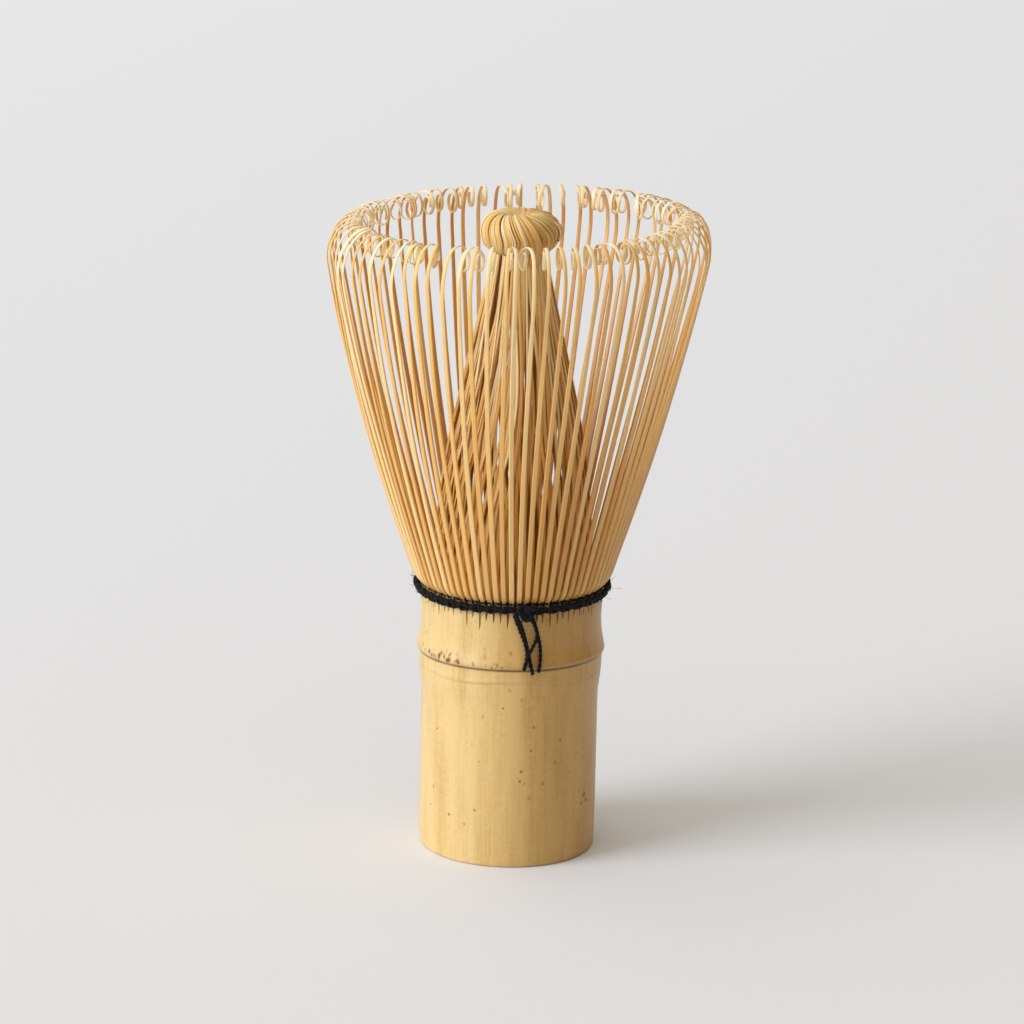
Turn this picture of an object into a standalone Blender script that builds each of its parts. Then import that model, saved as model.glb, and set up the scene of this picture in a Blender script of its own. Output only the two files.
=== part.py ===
"""Bamboo tea whisk, in metres, +Z up, standing on its handle.

The whisk is cut from one length of bamboo. Below the node the culm stays whole and is the handle.
Above it the wall is split into sixteen staves, and each stave into outer tines and inner tines.
The outer tines spread into a bell and curl inward at their tips. The inner tines lean together
into a core, and their ends are gathered into a knob. A black thread is wound between the two
layers and round the outside, and is tied off in a knot at the front (-Y).

The origin is the centre of the ring that the handle stands on.
"""

import math

import bmesh
import bpy
from mathutils import Matrix, Vector

MM = 0.001
GAP = 0.3 * MM

# The split.
STAVES = 16
TINES_PER_STAVE = 5
STAVE_ANGLE = math.tau / STAVES
TINE_ANGLE = STAVE_ANGLE / TINES_PER_STAVE

# The handle: a culm with the node's swollen ridge near its top.
HANDLE_TOP = 41.0 * MM
HANDLE_RADIUS = 14.2 * MM
BASE_RADIUS = 14.04 * MM
BASE_ROUNDING = 0.5 * MM
RIDGE_RADIUS = 15.07 * MM
RIDGE_HEIGHT = 32.7 * MM
CREASE_HEIGHT = 30.2 * MM
NECK_HEIGHT = 38.4 * MM
CULM_TOP_RADIUS = 14.4 * MM
BORE_RADIUS = 7.5 * MM
BORE_TOP = 30.0 * MM
CUP_RADIUS = 10.5 * MM
CUP_FLOOR = 33.4 * MM
HANDLE_STEPS = 32

# The thread.
THREAD_HEIGHT = 43.0 * MM
THREAD_ROUND_RADIUS = 15.4 * MM
THREAD_ROUND_HEIGHT = 42.85 * MM
THREAD_LOBE = 0.37 * MM
THREAD_LOBE_SPACING = 0.84 * MM
WEAVE_RADIUS = 13.14 * MM
WEAVE_THICKNESS = 0.3 * MM

# An outer tine: a flat strip, thinner and narrower towards its tip.
TINE_WIDTH = 0.74 * MM
TINE_THICKNESS = 0.52 * MM
TINE_TIP_SCALE = 0.68
TINE_ROOT = (13.95 * MM, 41.7 * MM)
ROOT_LEAN = math.radians(12)
KICK_LEAN = math.radians(46)
BELL_LEAN_LOW = math.radians(18.7)
BELL_LEAN_MIDDLE = math.radians(16.3)
BELL_LEAN_HIGH = math.radians(13.9)
UPRIGHT_LENGTH = 1.09 * MM
KICK_LENGTH = 1.3 * MM
RETURN_LENGTH = 2.2 * MM
BELL_LENGTH = 48.67 * MM
CURL_OPEN_RADIUS = 13.58 * MM
CURL_TIGHT_RADIUS = 1.75 * MM
CURL_TIGHTENING = 0.828

# An inner tine: thinner still, leaning in to the knob with a slight twist.
INNER_WIDTH = 0.44 * MM
INNER_THICKNESS = 0.34 * MM
INNER_TIP_SCALE = 0.5
CORE_TWIST = math.radians(10)

# The root blocks, where the tines of one stave are still one piece.
BLOCK_BOTTOM = HANDLE_TOP + GAP
OUTER_BLOCK = (13.1 * MM, 14.45 * MM, 1.0 * MM)
INNER_BLOCK = (10.75 * MM, 12.5 * MM, 1.2 * MM)
TIP_BLOCK = (3.3 * MM, 4.8 * MM, 1.2 * MM)
TIP_BLOCK_BOTTOM = 95.4 * MM

# The knob that the inner tines' ends are gathered into.
KNOB_RADIUS = 6.2 * MM
KNOB_BOTTOM = TIP_BLOCK_BOTTOM + TIP_BLOCK[2] + GAP
KNOB_TOP = 102.8 * MM
KNOB_DIMPLE = 0.9 * MM

# Where a stave's outer tines bend from: the thread's height, on the tines' centre line.
BEND_RADIUS = 14.15 * MM
BEND_HEIGHT = THREAD_HEIGHT

# The knot and the two doubled ends that hang from it, at the front and a little to the right.
KNOT_TURN = math.radians(-81)
KNOT_SIZE = (2.0 * MM, 0.85 * MM, 1.55 * MM)
KNOT_HEIGHT = 42.7 * MM
TAIL_THICKNESS = 0.4 * MM

BAMBOO = (0.72, 0.50, 0.24)
BAMBOO_PALE = (0.80, 0.60, 0.32)
THREAD_BLACK = (0.015, 0.015, 0.022)


def clear_scene():
    """Remove whatever the scene already holds."""
    for thing in list(bpy.data.objects):
        bpy.data.objects.remove(thing, do_unlink=True)


def new_collection(name):
    """A collection of that name, linked to the scene."""
    collection = bpy.data.collections.new(name)
    bpy.context.scene.collection.children.link(collection)
    return collection


def new_material(name, colour, roughness):
    """A plain Principled material."""
    material = bpy.data.materials.new(name)
    material.use_nodes = True
    shader = material.node_tree.nodes["Principled BSDF"]
    shader.inputs["Base Color"].default_value = (*colour, 1.0)
    shader.inputs["Roughness"].default_value = roughness
    shader.inputs["Metallic"].default_value = 0.0
    return material


def add_object(name, data, collection, material=None):
    """A linked object for a mesh or a curve."""
    thing = bpy.data.objects.new(name, data)
    collection.objects.link(thing)
    if material and not data.materials:
        data.materials.append(material)
    return thing


def poly_curve(points, closed=False, scales=None):
    """A curve of one straight-sided spline through the points, with the strip's scale at each."""
    curve = bpy.data.curves.new("path", "CURVE")
    curve.dimensions = "3D"
    curve.twist_mode = "MINIMUM"
    spline = curve.splines.new("POLY")
    spline.points.add(len(points) - 1)
    for index, point in enumerate(points):
        spline.points[index].co = (*point, 1.0)
        spline.points[index].radius = scales[index] if scales else 1.0
    spline.use_cyclic_u = closed
    return curve


def mesh_of(thing):
    """The evaluated object as a mesh of its own, welded shut; the object is removed."""
    depsgraph = bpy.context.evaluated_depsgraph_get()
    mesh = bpy.data.meshes.new_from_object(thing.evaluated_get(depsgraph), depsgraph=depsgraph)
    mesh.transform(thing.matrix_world)
    bpy.data.objects.remove(thing, do_unlink=True)
    shape = bmesh.new()
    shape.from_mesh(mesh)
    bmesh.ops.remove_doubles(shape, verts=shape.verts, dist=0.0005 * MM)
    bmesh.ops.recalc_face_normals(shape, faces=shape.faces)
    shape.to_mesh(mesh)
    shape.free()
    return mesh


def smooth(mesh, angle=35):
    """Shade a round piece smooth, with its real edges left sharp."""
    mesh.shade_smooth()
    mesh.set_sharp_from_angle(angle=math.radians(angle))


def turned(name, profile, steps, collection, material):
    """A piece turned about Z from (radius, height) points that run down its outer side."""
    mesh = bpy.data.meshes.new(name)
    points = [(radius, 0.0, height) for radius, height in profile]
    edges = [(index, index + 1) for index in range(len(points) - 1)]
    if profile[0][0] > 0:
        edges.append((len(points) - 1, 0))
    mesh.from_pydata(points, edges, [])
    thing = add_object(name, mesh, collection)
    screw = thing.modifiers.new("turn", "SCREW")
    screw.steps = steps
    screw.render_steps = steps
    screw.use_merge_vertices = True
    screw.merge_threshold = 0.01 * MM
    finished = mesh_of(thing)
    smooth(finished)
    return add_object(name, finished, collection, material)


def strip(points, scales, width, thickness, cutters):
    """A flat tine along the points, its section scaled along the way, as a closed mesh."""
    outline = poly_curve(
        [
            (-thickness / 2, -width / 2, 0.0),
            (thickness / 2, -width / 2, 0.0),
            (thickness / 2, width / 2, 0.0),
            (-thickness / 2, width / 2, 0.0),
        ],
        closed=True,
    )
    section = add_object("section", outline, cutters)
    path = poly_curve(points, scales=scales)
    path.bevel_mode = "OBJECT"
    path.bevel_object = section
    path.use_fill_caps = True
    mesh = mesh_of(add_object("strip", path, cutters))
    bpy.data.objects.remove(section, do_unlink=True)
    return mesh


def sector_block(inner, outer, bottom, height, turn, cutters):
    """A stave's solid root: a slice of a ring, set back from its neighbours by half the gap each."""
    corners = []
    for radius, direction in ((inner, 1), (outer, -1)):
        half = STAVE_ANGLE / 2 - GAP / (2 * radius)
        for step in range(4):
            angle = turn + direction * half * (1 - 2 * step / 3)
            corners.append((radius * math.cos(angle), radius * math.sin(angle), 0.0))
    outline = poly_curve(corners, closed=True)
    outline.dimensions = "2D"
    outline.fill_mode = "BOTH"
    outline.extrude = height / 2
    block = add_object("block", outline, cutters)
    block.location.z = bottom + height / 2
    bpy.context.view_layer.update()
    return mesh_of(block)


def united(name, meshes, cutters):
    """One closed mesh from several that overlap."""
    base = add_object(name, meshes[0], cutters)
    others = [add_object("joined", mesh, cutters) for mesh in meshes[1:]]
    for other in others:
        union = base.modifiers.new("union", "BOOLEAN")
        union.operation = "UNION"
        union.solver = "EXACT"
        union.object = other
    mesh = mesh_of(base)
    for other in others:
        bpy.data.objects.remove(other, do_unlink=True)
    mesh.name = name
    return mesh


def arc(centre, radius, start, end, steps):
    """Points along an arc, with its angles in degrees from +radius."""
    points = []
    for step in range(steps + 1):
        angle = math.radians(start + (end - start) * step / steps)
        points.append((centre[0] + radius * math.cos(angle), centre[1] + radius * math.sin(angle)))
    return points


def handle_profile():
    """The culm: over the node's floor, down the outside past the ridge, and up the bore."""
    foot = arc((BASE_RADIUS - BASE_ROUNDING, BASE_ROUNDING), BASE_ROUNDING, 0, -90, 2)
    cup = arc((CUP_RADIUS - 1.6 * MM, CUP_FLOOR + 1.6 * MM), 1.6 * MM, -90, 0, 2)
    return (
        [(0.0, CUP_FLOOR)]
        + cup
        + [
            (CUP_RADIUS, HANDLE_TOP),
            (CULM_TOP_RADIUS, HANDLE_TOP),
            (HANDLE_RADIUS, NECK_HEIGHT),
            (HANDLE_RADIUS + 0.1 * MM, RIDGE_HEIGHT + 3.4 * MM),
            (RIDGE_RADIUS - 0.25 * MM, RIDGE_HEIGHT + 1.1 * MM),
            (RIDGE_RADIUS, RIDGE_HEIGHT + 0.3 * MM),
            (RIDGE_RADIUS - 0.05 * MM, RIDGE_HEIGHT - 0.4 * MM),
            (HANDLE_RADIUS + 0.35 * MM, RIDGE_HEIGHT - 1.0 * MM),
            (HANDLE_RADIUS + 0.15 * MM, CREASE_HEIGHT),
            (HANDLE_RADIUS, CREASE_HEIGHT - 5.0 * MM),
            (HANDLE_RADIUS, 8.0 * MM),
        ]
        + foot
        + [
            (BORE_RADIUS + 0.3 * MM, 0.0),
            (BORE_RADIUS, 0.3 * MM),
            (BORE_RADIUS, BORE_TOP - 1.5 * MM),
            (BORE_RADIUS - 1.5 * MM, BORE_TOP),
            (0.0, BORE_TOP),
        ]
    )


def knob_profile():
    """The gathered ends: a flattened ball with a dimple in its crown and a flat underside."""
    middle = (KNOB_TOP + KNOB_BOTTOM) / 2
    half = (KNOB_TOP - KNOB_BOTTOM) / 2
    profile = []
    for step in range(9):
        angle = math.radians(90 - 150 * step / 8)
        radius = KNOB_RADIUS * math.cos(angle)
        dimple = KNOB_DIMPLE * math.exp(-((radius / (1.8 * MM)) ** 2))
        profile.append((radius, middle + half * math.sin(angle) - dimple))
    profile[0] = (0.0, profile[0][1])
    return profile + [(TIP_BLOCK[1], KNOB_BOTTOM), (0.0, KNOB_BOTTOM)]


def round_profile(radius, heights, thickness, sides):
    """The section of a wound thread: one lobe for each height, run down its outer side."""
    outer = []
    inner = []
    half = sides // 2
    for height in sorted(heights, reverse=True):
        for step in range(half):
            angle = math.radians(90 - 180 * (step + 0.5) / half)
            outer.append((radius + thickness * math.cos(angle), height + thickness * math.sin(angle)))
            inner.append((radius - thickness * math.cos(angle), height + thickness * math.sin(angle)))
    return outer + inner[::-1]


def along(start, length, lean_from, lean_to, steps=24):
    """Where a line of that length ends when its lean from upright changes evenly along it."""
    radius, height = start
    for step in range(steps):
        lean = lean_from + (lean_to - lean_from) * (step + 0.5) / steps
        radius += length / steps * math.sin(lean)
        height += length / steps * math.cos(lean)
    return radius, height


def curl_point(start, turned_by, steps=120):
    """Where the tip's curl has come to: its radius tightens exponentially as it turns over."""
    radius, height = start
    for step in range(steps):
        turn = turned_by * (step + 0.5) / steps
        bend = CURL_TIGHT_RADIUS + (CURL_OPEN_RADIUS - CURL_TIGHT_RADIUS) * math.exp(
            -turn / CURL_TIGHTENING
        )
        radius += bend * turned_by / steps * math.sin(BELL_LEAN_HIGH - turn)
        height += bend * turned_by / steps * math.cos(BELL_LEAN_HIGH - turn)
    return radius, height


def outer_tine_line():
    """An outer tine's centre line, (radius, height): a kick outward at the thread, the bell, the curl."""
    points = [TINE_ROOT]
    for length, lean_from, lean_to in (
        (UPRIGHT_LENGTH, 0.0, ROOT_LEAN),
        (KICK_LENGTH, ROOT_LEAN, KICK_LEAN),
        (RETURN_LENGTH, KICK_LEAN, BELL_LEAN_LOW),
        (BELL_LENGTH / 2, BELL_LEAN_LOW, BELL_LEAN_MIDDLE),
        (BELL_LENGTH / 2, BELL_LEAN_MIDDLE, BELL_LEAN_HIGH),
    ):
        points.append(along(points[-1], length, lean_from, lean_to))
    shoulder = points[-1]
    for degrees in (13.9, 55, 104, 165, 235):
        points.append(curl_point(shoulder, math.radians(degrees)))
    return points


def inner_tine_line():
    """An inner tine's centre line: upright at the thread, then leaning in to the knob."""
    bottom = BLOCK_BOTTOM + 0.5 * MM
    return [
        (11.7 * MM, bottom),
        (12.05 * MM, 46.0 * MM),
        (11.4 * MM, 60.0 * MM),
        (8.9 * MM, 75.5 * MM),
        (5.2 * MM, 90.5 * MM),
        (4.05 * MM, TIP_BLOCK_BOTTOM + 0.5 * MM),
    ]


def core_turn(height):
    """How far the core has twisted round at a height."""
    low = BLOCK_BOTTOM + INNER_BLOCK[2]
    share = (height - low) / (TIP_BLOCK_BOTTOM - low)
    return CORE_TWIST * min(1.0, max(0.0, share))


def fanned(line, width, thickness, tip_scale, twist, cutters):
    """The tines of one stave, side by side about +X: the same line at each tine's own angle."""
    scales = [1 + (tip_scale - 1) * index / (len(line) - 1) for index in range(len(line))]
    meshes = []
    for tine in range(TINES_PER_STAVE):
        side = (tine - (TINES_PER_STAVE - 1) / 2) * TINE_ANGLE
        points = []
        for radius, height in line:
            angle = side + (twist(height) if twist else 0.0)
            points.append((radius * math.cos(angle), radius * math.sin(angle), height))
        if twist:
            mesh = strip(points, scales, width, thickness, cutters)
        else:
            flat = [(radius, 0.0, height) for radius, height in line]
            mesh = strip(flat, scales, width, thickness, cutters)
            mesh.transform(Matrix.Rotation(side, 4, "Z"))
        meshes.append(mesh)
    return meshes


def outer_comb(cutters):
    """One stave's outer tines and the root they share."""
    inner, outer, height = OUTER_BLOCK
    root = sector_block(inner, outer, BLOCK_BOTTOM, height, 0.0, cutters)
    tines = fanned(outer_tine_line(), TINE_WIDTH, TINE_THICKNESS, TINE_TIP_SCALE, None, cutters)
    return united("outer_tines", [root] + tines, cutters)


def inner_comb(cutters):
    """One stave's inner tines, with the root they share and the bundle they end in."""
    inner, outer, height = INNER_BLOCK
    root = sector_block(inner, outer, BLOCK_BOTTOM, height, 0.0, cutters)
    inner, outer, height = TIP_BLOCK
    bundle = sector_block(inner, outer, TIP_BLOCK_BOTTOM, height, CORE_TWIST, cutters)
    tines = fanned(inner_tine_line(), INNER_WIDTH, INNER_THICKNESS, INNER_TIP_SCALE, core_turn, cutters)
    return united("inner_tines", [root] + tines + [bundle], cutters)


def place_staves(collection, cutters, outer_material, inner_material):
    """Sixteen outer combs, each with its origin on its own bending axis, and sixteen inner ones."""
    outer = outer_comb(cutters)
    outer.transform(Matrix.Translation((-BEND_RADIUS, 0.0, -BEND_HEIGHT)))
    inner = inner_comb(cutters)
    for stave in range(STAVES):
        turn = stave * STAVE_ANGLE
        comb = add_object(f"outer_tines_{stave + 1:02d}", outer, collection, outer_material)
        comb.location = (BEND_RADIUS * math.cos(turn), BEND_RADIUS * math.sin(turn), BEND_HEIGHT)
        comb.rotation_euler.z = turn
        group = add_object(f"inner_tines_{stave + 1:02d}", inner, collection, inner_material)
        group.rotation_euler.z = turn


def thread_knot(collection, material):
    """The knot: a flattened lump lying against the thread's rounds."""
    radius = THREAD_ROUND_RADIUS + THREAD_LOBE + GAP + KNOT_SIZE[1]
    mesh = bpy.data.meshes.new("thread_knot")
    shape = bmesh.new()
    bmesh.ops.create_uvsphere(shape, u_segments=12, v_segments=8, radius=1.0)
    bmesh.ops.scale(shape, vec=KNOT_SIZE, verts=shape.verts)
    shape.to_mesh(mesh)
    shape.free()
    mesh.shade_smooth()
    knot = add_object("thread_knot", mesh, collection, material)
    knot.location = (radius * math.cos(KNOT_TURN), radius * math.sin(KNOT_TURN), KNOT_HEIGHT)
    knot.rotation_euler.z = KNOT_TURN + math.pi / 2


def thread_tail(name, route, collection, material):
    """A doubled end of the thread, hanging close to the culm through (x, radius, height) points."""
    points = [Vector((x, -math.sqrt(radius**2 - x**2), height)) for x, radius, height in route]
    tail = poly_curve(points)
    tail.bevel_depth = TAIL_THICKNESS
    tail.bevel_resolution = 1
    tail.resolution_u = 1
    tail.render_resolution_u = 0
    tail.use_fill_caps = True
    mesh = mesh_of(add_object(name, tail, collection))
    mesh.shade_smooth()
    add_object(name, mesh, collection, material)


def build():
    """The whole whisk."""
    clear_scene()
    whisk = new_collection("bamboo_tea_whisk")
    cutters = new_collection("cutters")
    culm = new_material("culm_skin", BAMBOO, 0.42)
    split = new_material("split_bamboo", BAMBOO_PALE, 0.5)
    core = new_material("inner_bamboo", BAMBOO, 0.55)
    thread = new_material("black_thread", THREAD_BLACK, 0.9)

    turned("handle_culm", handle_profile(), HANDLE_STEPS, whisk, culm)
    place_staves(whisk, cutters, split, core)
    turned("core_knob", knob_profile(), 20, whisk, core)

    half = THREAD_LOBE_SPACING / 2
    lobes = (THREAD_ROUND_HEIGHT - half, THREAD_ROUND_HEIGHT + half)
    rounds = round_profile(THREAD_ROUND_RADIUS, lobes, THREAD_LOBE, 6)
    turned("thread_outer_rounds", rounds, 40, whisk, thread)
    weave = round_profile(WEAVE_RADIUS, (THREAD_HEIGHT,), WEAVE_THICKNESS, 6)
    turned("thread_weave_round", weave, 32, whisk, thread)
    thread_knot(whisk, thread)
    left = (
        (1.2 * MM, 15.6 * MM, 40.7 * MM),
        (1.9 * MM, 15.5 * MM, 38.0 * MM),
        (2.5 * MM, 15.75 * MM, 35.2 * MM),
        (3.0 * MM, 16.0 * MM, 32.6 * MM),
    )
    right = (
        (3.4 * MM, 15.6 * MM, 40.7 * MM),
        (3.9 * MM, 15.5 * MM, 38.2 * MM),
        (4.15 * MM, 15.75 * MM, 35.6 * MM),
        (4.0 * MM, 16.0 * MM, 33.0 * MM),
    )
    thread_tail("thread_tail_left", left, whisk, thread)
    thread_tail("thread_tail_right", right, whisk, thread)


build()
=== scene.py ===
"""Looks of the bamboo tea whisk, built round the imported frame. Metres, +Z up, -Y is the front.

Every piece is a surface worked out as whole arrays: a profile turned about the axis, or a flat strip
or a strand carried along many paths at once. Lengths below are in millimetres until a mesh is made.
"""

import bpy
import numpy as np
from mathutils import Matrix, Vector


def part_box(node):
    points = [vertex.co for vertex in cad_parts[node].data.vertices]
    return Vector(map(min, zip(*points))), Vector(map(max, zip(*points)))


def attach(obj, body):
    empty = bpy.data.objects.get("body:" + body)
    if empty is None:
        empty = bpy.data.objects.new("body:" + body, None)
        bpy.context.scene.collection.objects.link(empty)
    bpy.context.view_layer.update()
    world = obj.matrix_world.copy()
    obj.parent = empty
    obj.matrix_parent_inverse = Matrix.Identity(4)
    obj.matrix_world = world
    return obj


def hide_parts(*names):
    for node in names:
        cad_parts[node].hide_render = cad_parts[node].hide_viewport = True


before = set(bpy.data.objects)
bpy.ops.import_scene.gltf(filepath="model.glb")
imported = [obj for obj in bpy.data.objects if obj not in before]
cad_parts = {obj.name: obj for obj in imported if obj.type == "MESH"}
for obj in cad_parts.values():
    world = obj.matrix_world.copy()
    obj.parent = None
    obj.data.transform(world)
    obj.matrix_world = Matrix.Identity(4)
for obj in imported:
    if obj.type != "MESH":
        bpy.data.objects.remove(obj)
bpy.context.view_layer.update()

MM = 0.001


def box_mm(node):
    """The node's lowest and highest corner, in millimetres."""
    low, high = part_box(node)
    return np.array(low) / MM, np.array(high) / MM


# ---- sizes read from the frame ------------------------------------------------------------------
STAVES = sum(name.startswith("outer_tines_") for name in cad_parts)
TINES_PER_STAVE = 5
TINES = STAVES * TINES_PER_STAVE
INNER_PER_STAVE = 10
INNER_TINES = STAVES * INNER_PER_STAVE
PITCH = 2 * np.pi / TINES

RIDGE_RADIUS = box_mm("handle_culm")[1][0]

# ---- the culm -----------------------------------------------------------------------------------
CULM_COLUMNS = 12 * TINES
BASE_RADIUS = 14.04
BODY_RADIUS = 14.05
SCAR_HEIGHT = 32.2
CREASE_HEIGHT = 29.9
WALL_TOP = 42.6
WALL_RADIUS = 14.45
BORE_RADIUS = 7.5
BORE_TOP = 30.0
CUP_RADIUS = 12.6
CUP_FLOOR = 33.4

# Age spots on the handle: place on the skin and radius.
AGE_SPOTS = (
    (3.9, -13.65, 23.2, 0.36),
    (3.6, -13.73, 19.4, 0.32),
    (2.1, -14.04, 16.0, 0.38),
    (1.9, -14.07, 14.4, 0.34),
    (2.6, -13.95, 14.0, 0.26),
    (-4.6, -13.43, 17.3, 0.3),
    (-9.2, -10.7, 7.6, 0.36),
    (-5.2, -13.2, 9.2, 0.36),
    (-6.8, -12.45, 6.6, 0.32),
    (-11.4, -8.3, 21.0, 0.3),
    (-12.2, -7.1, 8.0, 0.26),
    (12.2, -7.2, 10.2, 0.62),
    (12.5, -6.6, 9.2, 0.5),
    (11.8, -7.8, 9.0, 0.42),
    (8.1, -11.6, 20.6, 0.28),
    (-1.0, -14.16, 26.4, 0.28),
)

# ---- the tines ----------------------------------------------------------------------------------
# An outer tine's lean from upright at the ends of its four stretches, and their lengths.
ROOT_POINT = (13.95, 41.7)
LEANS = np.radians([0, 12, 46, 18.7, 13.9])
LENGTHS = (1.09, 1.3, 2.2, 48.67)
# The tip's curl: the bend's radius where it starts and where it ends, and the turn it tightens in.
CURL_OPEN = 13.58
CURL_TIGHT = 1.75
CURL_TIGHTENING = 0.828

# ---- making meshes ------------------------------------------------------------------------------
def linear(code):
    """An sRGB hex colour as linear red, green, blue and alpha."""
    values = np.array([int(code[i : i + 2], 16) / 255 for i in (1, 3, 5)])
    values = np.where(values <= 0.04045, values / 12.92, ((values + 0.055) / 1.055) ** 2.4)
    return (*values, 1.0)


def smoothstep(low, high, x):
    """0 below low, 1 above high, and an S between them."""
    t = np.clip((x - low) / (high - low), 0, 1)
    return t * t * (3 - 2 * t)


def unit(vectors):
    """The vectors at length one."""
    return vectors / np.maximum(np.linalg.norm(vectors, axis=-1, keepdims=True), 1e-12)


def grid_quads(rows, columns, wrap_rows=False, wrap_columns=True):
    """Four corners of each cell of a rows by columns grid, in order round the cell."""
    row = np.arange(rows if wrap_rows else rows - 1)[:, None]
    column = np.arange(columns if wrap_columns else columns - 1)[None, :]
    next_row = (row + 1) % rows
    next_column = (column + 1) % columns
    corners = [
        row * columns + column,
        row * columns + next_column,
        next_row * columns + next_column,
        next_row * columns + column,
    ]
    return np.stack(np.broadcast_arrays(*corners), -1).reshape(-1, 4)


def outward(points, faces):
    """The faces turned so that the closed surface's signed volume is positive."""
    corners = points[np.array([face[:3] for face in faces])]
    volume = np.einsum("ij,ij->i", corners[:, 0], np.cross(corners[:, 1], corners[:, 2])).sum()
    if volume < 0:
        return [face[::-1] for face in faces]
    return faces


def put_piece(name, points, faces, material, floats=None, sharp=40):
    """A mesh object at the origin from points in millimetres, with its named float attributes."""
    mesh = bpy.data.meshes.new(name)
    mesh.from_pydata((points * MM).tolist(), [], faces)
    for key, values in (floats or {}).items():
        layer = mesh.attributes.new(key, "FLOAT", "POINT")
        layer.data.foreach_set("value", np.ascontiguousarray(values, np.float32).ravel())
    mesh.shade_smooth()
    mesh.set_sharp_from_angle(angle=np.radians(sharp))
    mesh.materials.append(material)
    piece = bpy.data.objects.new(name, mesh)
    bpy.context.scene.collection.objects.link(piece)
    return piece


def sweep(paths, across, section, width, depth):
    """Strips carried along paths: each section point stands off the path by its first number times
    half the width along the across direction, and by its second times half the depth along the
    direction square to both. paths and across are (strips, stations, 3), section is (corners, 2).
    Returns the points and the faces of all the strips, with both ends capped."""
    along = unit(np.gradient(paths, axis=1))
    across = unit(across - (across * along).sum(-1, keepdims=True) * along)
    outside = np.cross(along, across)
    offsets = (
        across[:, :, None, :] * (section[:, 0] * width[..., None] / 2)[..., None]
        + outside[:, :, None, :] * (section[:, 1] * depth[..., None] / 2)[..., None]
    )
    points = paths[:, :, None, :] + offsets
    strips, stations, corners = points.shape[:3]
    size = stations * corners
    quads = grid_quads(stations, corners)
    starts = (np.arange(strips) * size)[:, None, None]
    sides = (quads[None] + starts).reshape(-1, 4).tolist()
    ring = np.arange(corners)
    first = (ring[None, ::-1] + starts[:, :, 0]).tolist()
    last = (ring[None] + size - corners + starts[:, :, 0]).tolist()
    return points.reshape(-1, 3), sides + first + last


def strand_rings(paths, radius, sides):
    """Round strands of one radius, or one for each station, carried along open paths."""
    turn = np.arange(sides) * 2 * np.pi / sides
    section = np.stack([np.cos(turn), np.sin(turn)], -1)
    along = unit(np.gradient(paths, axis=1))
    spare = np.where(np.abs(along[..., 2:]) > 0.8, [[[1.0, 0, 0]]], [[[0, 0, 1.0]]])
    thickness = np.broadcast_to(2 * np.asarray(radius, float), paths.shape[:2])
    return sweep(paths, np.cross(along, spare), section, thickness, thickness)


def smooth_line(controls, count):
    """A curve through the control rows: cubic pieces whose slope at each control is the one between
    its neighbours, sampled evenly in the controls' own count."""
    controls = np.asarray(controls, float)
    slopes = np.gradient(controls, axis=0)
    place = np.linspace(0, len(controls) - 1, count)
    left = np.minimum(place.astype(int), len(controls) - 2)
    t = (place - left)[:, None]
    return (
        (2 * t**3 - 3 * t**2 + 1) * controls[left]
        + (t**3 - 2 * t**2 + t) * slopes[left]
        + (3 * t**2 - 2 * t**3) * controls[left + 1]
        + (t**3 - t**2) * slopes[left + 1]
    )


def ripples(angle, count, highest, seed):
    """A smooth random wave round the axis: a sum of count sines of up to highest waves a turn."""
    own = np.random.default_rng(seed)
    waves = own.integers(1, highest + 1, count)
    phases = own.uniform(0, 2 * np.pi, count)
    sizes = own.uniform(0.4, 1.0, count) / np.sqrt(waves)
    return (sizes * np.sin(angle[..., None] * waves + phases)).sum(-1) / np.sqrt(count)


# ---- node helper --------------------------------------------------------------------------------
def new_material(name):
    """An empty node material with its Principled shader joined to the output."""
    material = bpy.data.materials.new(name)
    material.use_nodes = True
    tree = material.node_tree
    return material, tree, tree.nodes["Principled BSDF"]


def add(tree, kind, settings=None, inputs=None):
    """A node of that kind with its settings; an input given as a socket is linked, else set."""
    node = tree.nodes.new(kind)
    for key, value in (settings or {}).items():
        setattr(node, key, value)
    for key, value in (inputs or {}).items():
        if isinstance(value, bpy.types.NodeSocket):
            tree.links.new(value, node.inputs[key])
        else:
            node.inputs[key].default_value = value
    return node


def times_plus(tree, value, factor, more):
    """The socket that holds value times factor plus more."""
    return add(
        tree, "ShaderNodeMath", {"operation": "MULTIPLY_ADD"}, {0: value, 1: factor, 2: more}
    ).outputs[0]


def laid_over(tree, share, under, over, way="MIX"):
    """The socket that holds the under colour with the over colour on it, by the share."""
    settings = {"data_type": "RGBA", "blend_type": way}
    return add(tree, "ShaderNodeMix", settings, {0: share, 6: under, 7: over}).outputs[2]


def raised(tree, shader, height, strength, distance):
    """Fine relief in the shading, from a height."""
    bump = add(
        tree, "ShaderNodeBump", {}, {"Strength": strength, "Distance": distance, "Height": height}
    )
    tree.links.new(bump.outputs[0], shader.inputs["Normal"])


def stops(node, places):
    """Sets a colour ramp's stops from (place, hex colour) pairs."""
    ramp = node.color_ramp
    while len(ramp.elements) < len(places):
        ramp.elements.new(0.5)
    for element, (place, colour) in zip(ramp.elements, places):
        element.position = min(place, 1.0)
        element.color = linear(colour)
    return node


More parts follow.
